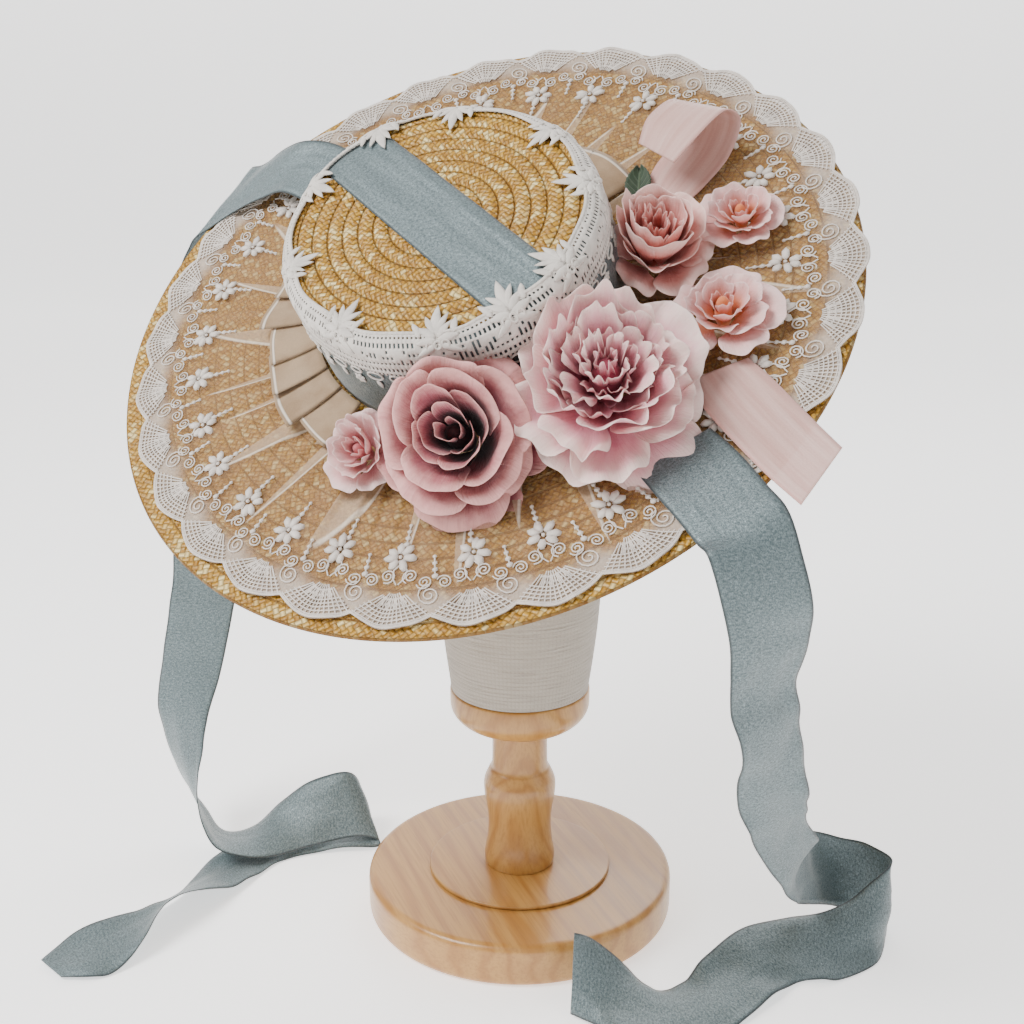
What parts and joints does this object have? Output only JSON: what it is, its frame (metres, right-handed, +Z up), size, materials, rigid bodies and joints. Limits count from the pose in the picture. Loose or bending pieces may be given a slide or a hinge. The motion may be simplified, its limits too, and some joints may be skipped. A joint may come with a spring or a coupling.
{
  "type": "trimmed straw hat on hat stand",
  "caption": "Wide flat-brimmed straw hat with lace, ribbons and cloth flowers, tipped on a linen-covered block on a turned wooden stand.",
  "frame": {"origin": "centre of the underside of the stand's round base, on the surface that it stands on", "axes": "+Z up the stand, -Y towards the hat's lowered front, +X to the right seen from the front"},
  "size_m": [0.4809, 0.3347, 0.4918],
  "materials": {
    "wood": "varnished pine, satin",
    "linen": "plain woven linen, matte",
    "straw": "sewn straw braid, satin",
    "lace": "embroidered tulle and guipure lace, matte",
    "cream_cloth": "pleated cotton, matte",
    "blue_ribbon": "woven ribbon with a metallic sheen",
    "pink_organza": "sheer organza",
    "rose_petal": "silk petal, matte",
    "pale_petal": "silk petal, matte",
    "leaf": "cloth leaf, matte"
  },
  "bodies": {
    "root": {"stand_base": "wood", "stand_step": "wood", "stand_post": "wood", "stand_collar": "wood", "stand_block": "linen", "hat_crown": "straw", "hat_brim": "straw", "brim_lace": "lace", "crown_band": "blue_ribbon", "crown_lace": "lace", "pleated_trim": "cream_cloth", "crown_ribbon": "blue_ribbon", "ribbon_left": "blue_ribbon", "ribbon_right": "blue_ribbon", "organza_tail": "pink_organza", "organza_loop": "pink_organza", "flower_rose": "rose_petal", "flower_peony": "pale_petal", "flower_cabbage_rose": "pale_petal", "flower_bud": "pale_petal", "flower_blossom_low": "pale_petal", "flower_blossom_high": "pale_petal", "leaf": "leaf"}
  },
  "joints": []
}
